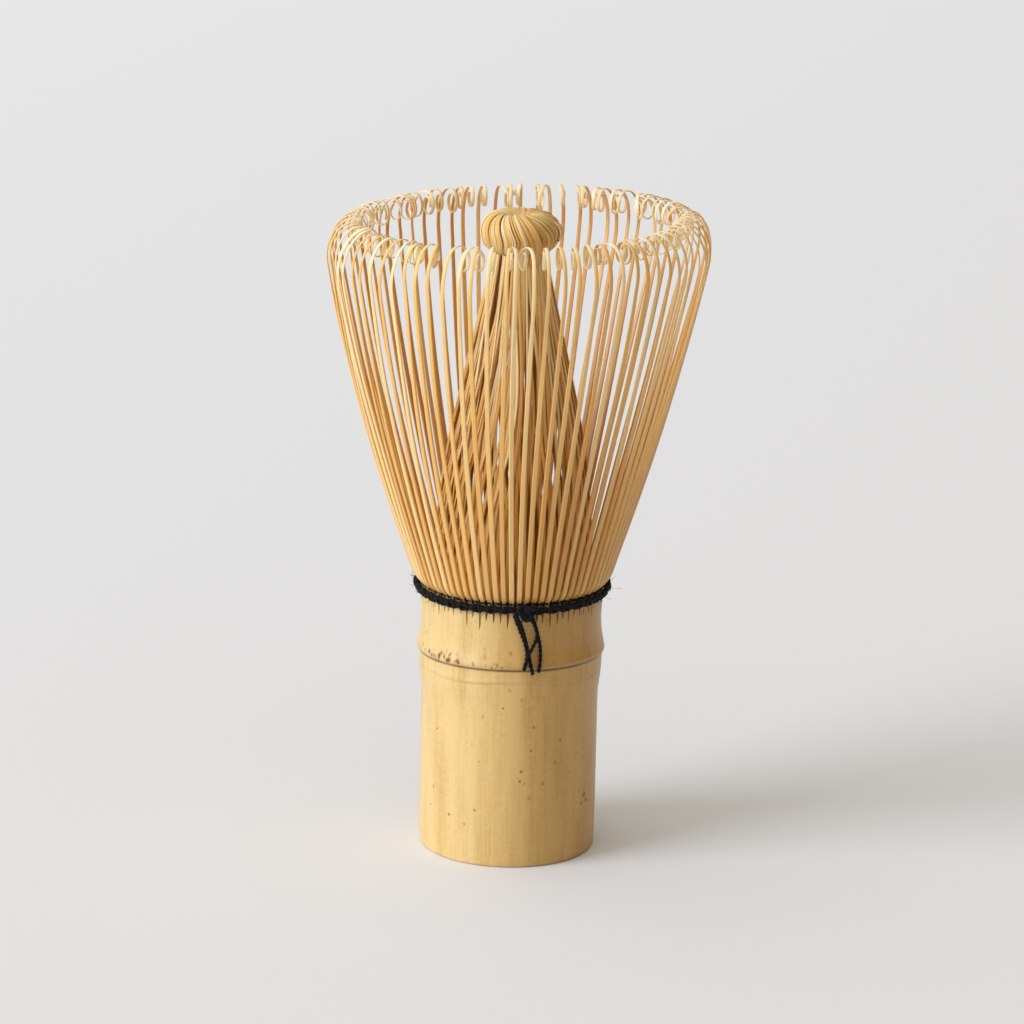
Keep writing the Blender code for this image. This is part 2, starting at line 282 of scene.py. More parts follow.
# ---- materials ----------------------------------------------------------------------------------
def painted_shade_side(tree, place, colour, reach, fading, shade_tint):
    """Painted shade on the side away from the key light: the colour is multiplied by the shade tint, more
    and more over the reach, two distances in millimetres towards +X, and less and less over the
    fading, two heights."""
    sides = add(tree, "ShaderNodeSeparateXYZ", {}, {"Vector": place})
    share = add(
        tree,
        "ShaderNodeMapRange",
        {"interpolation_type": "SMOOTHSTEP"},
        {"Value": sides.outputs["X"], "From Min": reach[0] * MM, "From Max": reach[1] * MM},
    )
    faded = add(
        tree,
        "ShaderNodeMapRange",
        {"interpolation_type": "SMOOTHSTEP"},
        {
            "Value": sides.outputs["Z"],
            "From Min": fading[0] * MM,
            "From Max": fading[1] * MM,
            "To Min": 1.0,
            "To Max": 0.15,
        },
    )
    both = add(tree, "ShaderNodeMath", {"operation": "MULTIPLY"}, {0: share.outputs[0], 1: faded.outputs[0]})
    return laid_over(tree, both.outputs[0], colour, shade_tint, "MULTIPLY")


def dried_culm_skin():
    """Sun-dried bamboo skin: a hard waxy rind over straight fibres. Straw gold with faint upright
    streaks and small dark age spots. The node's scar line is dark; painted shade darkens a band above it, the
    crease below it, the saw cuts, and the whole side away from the key light."""
    material, tree, shader = new_material("dried_culm_skin")
    place = add(tree, "ShaderNodeTexCoord").outputs["Object"]
    # Fibre streaks: 0.25 mm across the grain, 12 mm along it.
    grain = add(tree, "ShaderNodeMapping", {}, {"Vector": place, "Scale": (4000, 4000, 85)})
    fibre = add(tree, "ShaderNodeTexNoise", {}, {"Vector": grain.outputs[0], "Scale": 1.0, "Detail": 3.0})
    # Broad bands of tone, 3 mm across and 25 mm along.
    wide = add(tree, "ShaderNodeMapping", {}, {"Vector": place, "Scale": (330, 330, 40)})
    band = add(tree, "ShaderNodeTexNoise", {}, {"Vector": wide.outputs[0], "Scale": 1.0, "Detail": 2.0})
    # Pores and dust in the skin, about half a millimetre across.
    pores = add(tree, "ShaderNodeTexNoise", {}, {"Vector": place, "Scale": 1900.0, "Detail": 4.0})
    tone = times_plus(tree, fibre.outputs["Fac"], 0.3, -0.11)
    tone = times_plus(tree, pores.outputs["Fac"], 0.26, tone)
    tone = times_plus(tree, band.outputs["Fac"], 0.66, tone)
    skin = stops(
        add(tree, "ShaderNodeValToRGB", {}, {"Fac": tone}),
        [(0.3, "#C9A058"), (0.44, "#DAB670"), (0.58, "#E3C382"), (0.74, "#DEB36A")],
    )
    # Age spots: scattered dots about 0.3 mm across, thickest in the cluster on the node.
    dots_at = add(tree, "ShaderNodeMapping", {}, {"Vector": place, "Scale": (520, 520, 340)})
    dots = add(tree, "ShaderNodeTexVoronoi", {}, {"Vector": dots_at.outputs[0], "Scale": 1.0})
    near = add(
        tree,
        "ShaderNodeMapRange",
        {"interpolation_type": "SMOOTHSTEP"},
        {"Value": dots.outputs["Distance"], "From Min": 0.06, "From Max": 0.2, "To Min": 1.0, "To Max": 0.0},
    )
    few = add(tree, "ShaderNodeSeparateColor", {}, {"Color": dots.outputs["Color"]})
    chosen = add(tree, "ShaderNodeMath", {"operation": "GREATER_THAN"}, {0: few.outputs[0], 1: 0.74})
    faint = add(tree, "ShaderNodeMath", {"operation": "MULTIPLY"}, {0: near.outputs[0], 1: chosen.outputs[0]})
    faint = add(tree, "ShaderNodeMath", {"operation": "MULTIPLY"}, {0: faint.outputs[0], 1: 0.45})
    colour = laid_over(tree, faint.outputs[0], skin.outputs[0], linear("#8A5A2C"))
    cluster = add(tree, "ShaderNodeAttribute", {"attribute_name": "blemish"})
    colour = laid_over(tree, cluster.outputs["Fac"], colour, linear("#74461C"))
    specks = None
    for x, y, z, size in AGE_SPOTS:
        away = add(
            tree,
            "ShaderNodeVectorMath",
            {"operation": "DISTANCE"},
            {0: place, 1: (x * MM, y * MM, z * MM)},
        )
        spot = add(
            tree,
            "ShaderNodeMapRange",
            {"interpolation_type": "SMOOTHSTEP"},
            {
                "Value": away.outputs["Value"],
                "From Min": 0.3 * size * MM,
                "From Max": size * MM,
                "To Min": 0.85,
                "To Max": 0.0,
            },
        ).outputs[0]
        if specks:
            spot = add(tree, "ShaderNodeMath", {"operation": "MAXIMUM"}, {0: specks, 1: spot}).outputs[0]
        specks = spot
    colour = laid_over(tree, specks, colour, linear("#8C4A16"))
    # The node's own dark scar line, with painted shade in a band above it and in the crease below.
    scar_and_shade = add(tree, "ShaderNodeAttribute", {"attribute_name": "scar_and_shade"})
    colour = laid_over(tree, scar_and_shade.outputs["Fac"], colour, linear("#5A2B08"))
    # Painted shade: the saw cuts are coloured darker brown inside.
    cut = add(tree, "ShaderNodeAttribute", {"attribute_name": "cut"})
    colour = laid_over(tree, cut.outputs["Fac"], colour, linear("#96642C"))
    # Painted shade: the whole side away from the key light is darkened and warmed, and the collar above the scar
    # a little more.
    shaded_colour = painted_shade_side(tree, place, colour, (-6, 8), (60, 90), (0.77, 0.665, 0.46, 1.0))
    shaded_colour = painted_shade_side(tree, place, shaded_colour, (-9, 6), (33.6, 31.8), (0.9, 0.81, 0.66, 1.0))
    tree.links.new(shaded_colour, shader.inputs["Base Color"])
    gloss = add(
        tree,
        "ShaderNodeMapRange",
        {},
        {"Value": tone, "From Min": 0.3, "From Max": 0.7, "To Min": 0.36, "To Max": 0.46},
    )
    tree.links.new(gloss.outputs[0], shader.inputs["Roughness"])
    shader.inputs["Coat Weight"].default_value = 0.3
    shader.inputs["Coat Roughness"].default_value = 0.42
    raised(tree, shader, fibre.outputs["Fac"], 0.2, 0.0001)
    return material


def split_bamboo(name, skin_tones, flesh_tones, roughness, fading):
    """Knife-split bamboo: the rind side is straw gold, the split sides and the inside show the
    softer, browner flesh. Fine fibre lines run along each strip, and each strip has its own tone.
    The painted shade on the side away from the key light fades out over the two fading heights."""
    material, tree, shader = new_material(name)
    place = add(tree, "ShaderNodeTexCoord").outputs["Object"]
    grain = add(tree, "ShaderNodeMapping", {}, {"Vector": place, "Scale": (9000, 9000, 220)})
    fibre = add(tree, "ShaderNodeTexNoise", {}, {"Vector": grain.outputs[0], "Scale": 1.0, "Detail": 2.0})
    own = add(tree, "ShaderNodeAttribute", {"attribute_name": "tone"})
    tone = times_plus(tree, fibre.outputs["Fac"], 0.4, own.outputs["Fac"])
    rind = stops(add(tree, "ShaderNodeValToRGB", {}, {"Fac": tone}), skin_tones)
    flesh = stops(add(tree, "ShaderNodeValToRGB", {}, {"Fac": tone}), flesh_tones)
    side = add(tree, "ShaderNodeAttribute", {"attribute_name": "rind"})
    colour = laid_over(tree, side.outputs["Fac"], flesh.outputs[0], rind.outputs[0])
    # Painted shade: darker and warmer on the side away from the key light.
    shaded_colour = painted_shade_side(tree, place, colour, (-9, 9), fading, (0.78, 0.69, 0.55, 1.0))
    tree.links.new(shaded_colour, shader.inputs["Base Color"])
    shader.inputs["Roughness"].default_value = roughness
    # Strips a third of a millimetre thick glow a little where the sun is behind them.
    shader.inputs["Subsurface Weight"].default_value = 0.2
    shader.inputs["Subsurface Radius"].default_value = (1.0, 0.55, 0.25)
    shader.inputs["Subsurface Scale"].default_value = 0.4 * MM
    raised(tree, shader, fibre.outputs["Fac"], 0.15, 0.00005)
    return material


def black_cotton_thread():
    """Dyed cotton: blue-black, matt, with a soft bloom of loose fibre at its edges."""
    material, tree, shader = new_material("black_cotton_thread")
    place = add(tree, "ShaderNodeTexCoord").outputs["Object"]
    lint = add(tree, "ShaderNodeTexNoise", {}, {"Vector": place, "Scale": 9000.0, "Detail": 3.0})
    colour = stops(
        add(tree, "ShaderNodeValToRGB", {}, {"Fac": lint.outputs["Fac"]}),
        [(0.35, "#020203"), (0.6, "#050507"), (0.8, "#0B0B0F")],
    )
    tree.links.new(colour.outputs[0], shader.inputs["Base Color"])
    shader.inputs["Roughness"].default_value = 0.9
    shader.inputs["Specular IOR Level"].default_value = 0.25
    shader.inputs["Sheen Weight"].default_value = 0.08
    shader.inputs["Sheen Roughness"].default_value = 0.5
    raised(tree, shader, lint.outputs["Fac"], 0.4, 0.00008)
    return material


# ---- the culm -----------------------------------------------------------------------------------
def culm_rows():
    """Heights of the outside's rows: close together where the node and the cuts need them."""
    return np.concatenate(
        [
            np.linspace(0.5, 28.6, 22),
            np.linspace(28.9, 34.4, 38),
            np.linspace(34.9, 38.2, 6),
            np.linspace(38.6, WALL_TOP, 22),
        ]
    )


def culm_outline(height):
    """The culm's outer radius at a height: a straight body, a slow swelling up to the scar, the
    node's lip over it, a waist and a slight spread where the splitting starts."""
    places = [0, 0.5, 1.5, 8, 24, 26, 27, 28.1, 30, 31.3, 31.95, 32.3, 32.9, 33.8, 35, 36, 38, 40.5, 42.6]
    radii = [13.9, 13.98, 14.05, 14.1, 14.05, 14.08, 14.2, 14.36, 14.5, 14.52, 14.58, 14.84, 14.92]
    radii += [14.74, 14.5, 14.37, 14.28, 14.4, WALL_RADIUS]
    return np.interp(height, places, radii)


def saw_cuts(angle, height):
    """How far each point is inside a split, 0 to 1. There is a split between each two tines, with
    its own length and place; it is a hair at its foot and opens towards the thread."""
    own = np.random.default_rng(77)
    foot = 40.95 - own.gamma(2.2, 0.4, TINES)
    longer = own.integers(0, TINES, 9)
    foot[longer] -= own.uniform(0.4, 1.2, 9)
    centre = 0.5 + own.normal(0, 0.09, TINES)
    opening = own.uniform(0.5, 1.25, TINES)
    place = angle / PITCH
    which = np.floor(place).astype(int) % TINES
    away = np.abs(place % 1 - centre[which]) * PITCH * WALL_RADIUS
    reach = np.clip((height - foot[which]) / (WALL_TOP - foot[which]), 0, 1)
    half = 0.02 + 0.13 * opening[which] * reach
    return np.clip((half - away) / 0.09 + 0.45, 0, 1) * smoothstep(0, 0.25, reach)


def make_culm(material):
    """The handle as one turned skin: outside, cut foot, bore, the node's floor from below and above,
    and the cup inside the wall. radius = outline(height) + small ripples, with the scar as a lip and
    the splits pressed in."""
    angle = np.arange(CULM_COLUMNS) * 2 * np.pi / CULM_COLUMNS
    rows = culm_rows()
    around, height = np.meshgrid(angle, rows)
    lift = 0.55 * np.cos(around + np.pi / 2) + 0.16 * ripples(around, 5, 6, 3)
    near_node = np.exp(-(((height - SCAR_HEIGHT) / 2.4) ** 2))
    radius = culm_outline(height - lift * near_node)
    radius += 0.07 * ripples(around, 4, 3, 9) + 0.012 * ripples(around, 12, 60, 11)
    radius += 0.05 * ripples(around + height * 0.05, 6, 9, 5) * smoothstep(29, 33, height) * (height < 36)
    crease = CREASE_HEIGHT + 0.5 * lift + 0.4 * ripples(around, 5, 7, 21)
    fading = np.clip(0.45 + 0.75 * ripples(around, 5, 9, 22), 0, 1)
    radius -= 0.13 * fading * np.exp(-(((height - crease) / 0.2) ** 2))
    radius += 0.1 * fading * np.exp(-(((height - crease - 0.5) / 0.3) ** 2))
    scar_line = SCAR_HEIGHT + lift
    broken = np.clip(0.8 + 0.35 * ripples(around, 10, 40, 31), 0.25, 1)
    # The scar's own dark line; painted shade in the band just above it and along the crease below.
    scar_and_shade = 1.2 * np.exp(-(((height - scar_line) / 0.2) ** 2)) * broken
    scar_and_shade += 0.12 * np.exp(-(((height - scar_line - 0.5) / 0.5) ** 2)) * broken
    scar_and_shade += 0.2 * fading * np.exp(-(((height - crease) / 0.25) ** 2))
    radius -= 0.2 * np.exp(-(((height - scar_line) / 0.12) ** 2)) * broken
    cut = saw_cuts(around, height)
    radius -= 0.5 * cut
    radius = np.minimum(radius, RIDGE_RADIUS + 0.05)

    foot = np.linspace(-90, 0, 4)[:-1]
    foot_radius = BASE_RADIUS - 0.5 + 0.45 * np.cos(np.radians(foot))
    foot_height = 0.5 + 0.5 * np.sin(np.radians(foot))
    inside = [(BORE_RADIUS + 0.35, 0.0), (BORE_RADIUS, 0.35)]
    inside += [(BORE_RADIUS, z) for z in (6, 14, 22, 27.5)]
    inside += [(BORE_RADIUS - 0.5, 29.2), (BORE_RADIUS - 1.8, 29.8), (3.0, BORE_TOP), (0.6, BORE_TOP + 0.1)]
    top = [(13.7, WALL_TOP), (CUP_RADIUS, WALL_TOP - 0.4), (CUP_RADIUS - 1.2, 40.5), (CUP_RADIUS - 1.9, 37)]
    top += [(CUP_RADIUS - 2.2, 35), (CUP_RADIUS - 3.8, CUP_FLOOR + 0.3), (5.0, CUP_FLOOR + 0.1), (0.6, CUP_FLOOR)]

    def ring_rows(pairs):
        pairs = np.array(pairs)
        wobble = 1 + 0.012 * ripples(angle, 4, 3, 41)
        return pairs[:, :1] * wobble, np.repeat(pairs[:, 1:], CULM_COLUMNS, axis=1)

    in_radius, in_height = ring_rows(inside[::-1])
    foot_r = np.repeat(foot_radius[:, None], CULM_COLUMNS, axis=1)
    foot_z = np.repeat(foot_height[:, None], CULM_COLUMNS, axis=1)
    top_r, top_z = ring_rows(top)
    radius = np.concatenate([in_radius, foot_r, radius, top_r])
    height = np.concatenate([in_height, foot_z, height, top_z])
    count = len(radius)
    ring = np.stack([radius * np.cos(angle), radius * np.sin(angle), height], -1)
    poles = [[0, 0, in_height[0, 0]], [0, 0, CUP_FLOOR]]
    points = np.concatenate([ring.reshape(-1, 3), poles])
    faces = grid_quads(count, CULM_COLUMNS).tolist()
    low_pole = len(points) - 2
    columns = np.arange(CULM_COLUMNS)
    after = (columns + 1) % CULM_COLUMNS
    last = (count - 1) * CULM_COLUMNS
    faces += np.stack([np.full_like(columns, low_pole), after, columns], -1).tolist()
    faces += np.stack([np.full_like(columns, low_pole + 1), last + columns, last + after], -1).tolist()

    before = len(in_radius) + len(foot_r)

    def padded_rows(values):
        full = np.zeros((count, CULM_COLUMNS))
        full[before : before + len(rows)] = values
        return np.append(full.ravel(), [0, 0])

    floats = {
        "scar_and_shade": padded_rows(np.clip(scar_and_shade, 0, 1)),
        "cut": padded_rows(cut),
        "blemish": padded_rows(blemishes(around, rows[:, None])),
    }
    return put_piece("culm", points, outward(points, faces), material, floats)


def blemishes(around, height):
    """Dark age spots by the node: small upright ovals, in one cluster far left of the front, a
    smaller one nearly at the front, and a few strewn further round."""
    own = np.random.default_rng(12)
    spots = np.zeros(np.broadcast(around, height).shape)
    clusters = ((-2.42, 0.15, 20, 1.0), (-2.2, 0.1, 9, 0.7), (-1.8, 0.12, 9, 0.8))
    clusters += ((-1.0, 0.3, 4, 0.5), (1.2, 0.6, 14, 0.8))
    for centre, spread, count, strength in clusters:
        places = own.normal(centre, spread, count)
        levels = 33.0 + np.abs(own.normal(0, 0.75, count))
        sizes = own.uniform(0.09, 0.22, count)
        for place, level, size in zip(places, levels, sizes):
            turn = (around - place + np.pi) % (2 * np.pi) - np.pi
            away = (turn * BODY_RADIUS / size) ** 2 + ((height - level) / (1.4 * size)) ** 2
            spots += strength * np.exp(-away)
    return np.clip(spots, 0, 1)


# ---- the outer tines ----------------------------------------------------------------------------
def tine_lines(count, own):
    """Centre lines of count outer tines in their radial planes, as radius and height for each
    station. The lean from upright changes evenly along each stretch, which makes the kick at the
    thread and the bell; the tip then turns over with a radius that shrinks exponentially, into a
    coil that is a quarter narrower than it is tall."""
    lean = []
    step = []
    for index, stations in enumerate((4, 7, 8, 16)):
        share = np.linspace(0, 1, stations, endpoint=False)
        lean.append(LEANS[index] + (LEANS[index + 1] - LEANS[index]) * share)
        step.append(np.full(stations, LENGTHS[index] / stations))
    lean = np.repeat(np.concatenate(lean)[None], count, axis=0)
    step = np.repeat(np.concatenate(step)[None], count, axis=0)
    bell = lean.shape[1]
    place = np.cumsum(step, axis=1)
    sway = own.normal(0, np.radians(0.55), (count, 1))
    lean += sway * np.sin(place / 48 * np.pi * 2) * smoothstep(6, 14, place)

    turns = np.radians(own.uniform(450, 600, (count, 1)))
    share = (np.arange(50) / 49) ** 1.45
    turn = turns * share
    tight = CURL_TIGHT * own.uniform(0.88, 1.14, (count, 1))
    closing = 1 - 0.17 * smoothstep(1.9, 3.6, turn) - 0.14 * smoothstep(4.0, 9.5, turn)
    opening = CURL_OPEN * own.uniform(0.6, 1.0, (count, 1))
    bend = (tight + (opening - tight) * np.exp(-turn / CURL_TIGHTENING)) * closing
    middle = (bend[:, 1:] + bend[:, :-1]) / 2
    curl_step = middle * np.diff(turn, axis=1)
    curl_turn = (turn[:, 1:] + turn[:, :-1]) / 2
    curl_lean = LEANS[-1] - curl_turn
    # A tighter curl starts later, on a straighter stretch, so that all reach about one height.
    rise = np.cumsum(curl_step * np.cos(curl_lean), axis=1).max(axis=1, keepdims=True)
    short = 0.94 * (rise.max() - rise)
    step[:, -8:] += short / 8
    lean[:, -8:] -= 0.014 * short * np.linspace(0, 2, 8)
    lean = np.concatenate([lean, curl_lean], axis=1)
    step = np.concatenate([step, curl_step], axis=1)
    squeeze = np.concatenate([np.ones((count, bell)), 1 - 0.27 * smoothstep(1.4, 2.6, curl_turn)], axis=1)
    start = np.zeros((count, 1))
    radius = ROOT_POINT[0] + np.concatenate([start, np.cumsum(step * np.sin(lean) * squeeze, 1)], 1)
    height = ROOT_POINT[1] + np.concatenate([start, np.cumsum(step * np.cos(lean), 1)], 1)
    length = np.concatenate([start, np.cumsum(step, axis=1)], axis=1)
    turned = np.concatenate([np.zeros((count, bell)), turn], axis=1)
    return radius, height, length, turned


FLAT_STRIP = np.array(
    [(-1, 0.45), (-0.72, 1), (0.72, 1), (1, 0.45), (1, -0.6), (0.8, -1), (-0.8, -1), (-1, -0.6)]
)


def make_outer_tines(material):
    """Eighty split tines, five to a stave. Each line is turned to its own angle about the axis; from
    the rim on, its curl is also twisted about the upright through the rim and drifts sideways."""
    own = np.random.default_rng(2024)
    radius, height, length, turned = tine_lines(TINES, own)
    base = (np.arange(TINES) - (TINES_PER_STAVE - 1) / 2) * PITCH
    drift = np.clip(own.normal(0, 0.12, TINES), -0.22, 0.22) * PITCH
    # A stave's first and last tine hardly lean over the next stave, which moves on its own.
    edge = np.tile([-1.0, 0, 0, 0, 1.0], STAVES)
    drift = np.where(edge * drift > 0, 0.2 * drift, drift)
    share = smoothstep(4, 52, length)
    angle = base[:, None] + drift[:, None] * share
    outwards = np.stack([np.cos(angle), np.sin(angle), np.zeros_like(angle)], -1)
    sideways = np.stack([-np.sin(angle), np.cos(angle), np.zeros_like(angle)], -1)
    paths = outwards * radius[..., None]
    paths[..., 2] = height
    # The bell swells a little more on its left; its rim stands higher on its right and at its back.
    paths[..., 0] -= 0.38 * np.sin(np.pi * np.clip((height - 43) / 51, 0, 1))
    higher = 0.03 * paths[..., 0] + 0.0002 * np.clip(paths[..., 1], 0, None) ** 2 - 0.06
    paths[..., 2] += higher * smoothstep(60, 98, height)

    # The curl's twist about the upright line through the point where the tip starts to turn over.
    over = turned[0].searchsorted(np.radians(25))
    pivot = paths[:, over : over + 1]
    twist = np.clip(own.normal(0.03, 0.17, (TINES, 1)), -0.35, 0.35)
    twist = np.where(edge[:, None] * twist < 0, 0.2 * twist, twist)
    swing = twist * smoothstep(np.radians(25), np.radians(190), turned)
    arm = paths - pivot
    cos, sin = np.cos(swing), np.sin(swing)
    paths[..., 0] = pivot[..., 0] + arm[..., 0] * cos - arm[..., 1] * sin
    paths[..., 1] = pivot[..., 1] + arm[..., 0] * sin + arm[..., 1] * cos
    across = np.stack(
        [
            sideways[..., 0] * cos - sideways[..., 1] * sin,
            sideways[..., 0] * sin + sideways[..., 1] * cos,
            np.zeros_like(cos),
        ],
        -1,
    )
    side = np.where(own.random((TINES, 1)) < 0.78, 1.0, -1.0) * own.uniform(0.25, 0.42, (TINES, 1))
    side = np.where(edge[:, None] * side > 0, -0.6 * side, side)
    paths += across * (side * np.clip(turned - 2.0, 0, None) / (2 * np.pi))[..., None]
    roll = own.normal(0, 0.12, (TINES, 1)) * smoothstep(4, 30, length)
    along = unit(np.gradient(paths, axis=1))
    across = across * np.cos(roll)[..., None] + np.cross(along, across) * np.sin(roll)[..., None]

    girth = own.uniform(0.92, 1.08, (TINES, 1))
    width = girth * np.interp(length, [0, 4, 20, 50, 58, 75], [0.82, 0.83, 0.8, 0.66, 0.6, 0.5])
    depth = np.interp(length, [0, 4, 20, 48, 56, 75], [0.6, 0.54, 0.46, 0.32, 0.2, 0.13])
    tone = own.uniform(0.0, 0.5, TINES)
    # Painted light: the tines are lighter towards the rim and on their curls, standing in for the lit,
    # translucent rim.
    painted_rim_light = 0.4 * smoothstep(0.1, 2.2, turned) + 0.13 * smoothstep(26, 50, length)
    stations = paths.shape[1]
    rind = (FLAT_STRIP[:, 1] > 0.4).astype(float)
    for stave in range(STAVES):
        mine = np.arange(TINES_PER_STAVE) + stave * TINES_PER_STAVE
        points, faces = sweep(paths[mine], -across[mine], FLAT_STRIP, width[mine], depth[mine])
        floats = {
            "rind": np.tile(rind, TINES_PER_STAVE * stations),
            "tone": np.repeat(tone[mine, None] + painted_rim_light[mine], len(FLAT_STRIP)),
        }
        name = f"outer_tines_{stave + 1:02d}"
        piece = put_piece(f"stave_{stave + 1:02d}_outer_tines", points, outward(points, faces), material, floats)
        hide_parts(name)
        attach(piece, f"stave_{stave + 1:02d}")


# ---- the inner tines and the knob ---------------------------------------------------------------
ROUND_STRIP = np.array(
    [(-1, 0), (-0.78, 0.7), (0, 1), (0.78, 0.7), (1, 0), (0.78, -0.7), (0, -1), (-0.78, -0.7)]
)
# Radius and height of the core's surface from the split to the neck, and of the knob's from there.
CORE_LINE = ((13.15, 41.2), (12.95, 42.2), (12.6, 43.3), (12.35, 45.2), (12.4, 50), (12.0, 56))
CORE_LINE += ((11.35, 62),)
CORE_LINE += ((10.35, 68), (9.1, 74), (7.75, 80), (6.35, 86), (5.1, 91.5), (4.4, 95), (4.25, 96.3))
KNOB_LINE = ((3.8, 96.3), (4.75, 96.9), (5.5, 97.7), (5.93, 98.85), (6.0, 100.0), (5.55, 101.2))
KNOB_LINE += ((4.65, 102.0), (3.6, 102.4), (2.5, 102.3), (1.5, 101.8), (0.8, 101.0), (0.4, 100.1))


def bundle_angles(own):
    """Each inner tine's angle at its root, and at the neck where a stave's ten lie in one bundle."""
    tine = np.arange(INNER_TINES)
    stave = tine // INNER_PER_STAVE
    within = tine % INNER_PER_STAVE - (INNER_PER_STAVE - 1) / 2
    root = stave * 2 * np.pi / STAVES + within * PITCH / 2 + PITCH / 2
    shift = own.normal(0, np.radians(3.4), STAVES)[stave]
    neck = stave * 2 * np.pi / STAVES + np.radians(10) + shift + within * np.radians(1.75)
    return root, neck + own.normal(0, np.radians(1.2), INNER_TINES)


def make_inner_tines(material):
    """The inner layer, shaved so thin that each stave has ten. radius and height follow the core's
    line; the angle goes from the root's to the bundle's as the core closes, with each tine's own
    sway, so that neighbours cross. Their depth in the core varies, which makes its layers."""
    own = np.random.default_rng(31)
    root, neck = bundle_angles(own)
    count = len(root)
    line = smooth_line(CORE_LINE, 50)
    share = smoothstep(47, 89, line[:, 1])
    belly = np.sin(np.pi * np.clip((line[:, 1] - 44) / 50, 0, 1))
    late = np.sin(np.pi * np.clip((line[:, 1] - 52) / 44, 0, 1)) ** 2
    angle = root[:, None] + (neck - root)[:, None] * share
    angle = angle + own.normal(0, np.radians(3.6), (count, 1)) * belly
    angle = angle + own.normal(0, np.radians(6.5), (count, 1)) * late
    layer = own.uniform(-1.0, 0.1, (count, 1))
    radius = line[:, 0] + layer * (0.25 + 0.75 * belly) * (0.7 + 0.3 * share) * smoothstep(42, 47, line[:, 1])
    height = np.repeat(line[None, :, 1], count, axis=0)
    paths = np.stack([radius * np.cos(angle), radius * np.sin(angle), height], -1)
    turned = angle + own.normal(0, 0.35, (count, 1)) * belly
    across = np.stack([np.sin(turned), -np.cos(turned), np.zeros_like(turned)], -1)
    width = np.interp(line[:, 1], [42, 47, 54, 64, 80, 96], [0.56, 0.62, 0.62, 0.56, 0.47, 0.42])
    width = own.uniform(0.85, 1.2, (count, 1)) * width
    depth = np.broadcast_to(np.interp(line[:, 1], [42, 96], [0.32, 0.24]), width.shape)
    tone = own.uniform(0.0, 0.6, count)
    rind = (ROUND_STRIP[:, 1] > 0.4).astype(float)
    for stave in range(STAVES):
        mine = np.arange(INNER_PER_STAVE) + stave * INNER_PER_STAVE
        points, faces = sweep(paths[mine], across[mine], ROUND_STRIP, width[mine], depth[mine])
        floats = {
            "rind": np.tile(rind, INNER_PER_STAVE * len(line)),
            "tone": np.repeat(tone[mine, None] + 0.35 * share, len(ROUND_STRIP)),
        }
        name = f"inner_tines_{stave + 1:02d}"
        piece = put_piece(f"stave_{stave + 1:02d}_inner_tines", points, outward(points, faces), material, floats)
        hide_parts(name)
        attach(piece, "root")


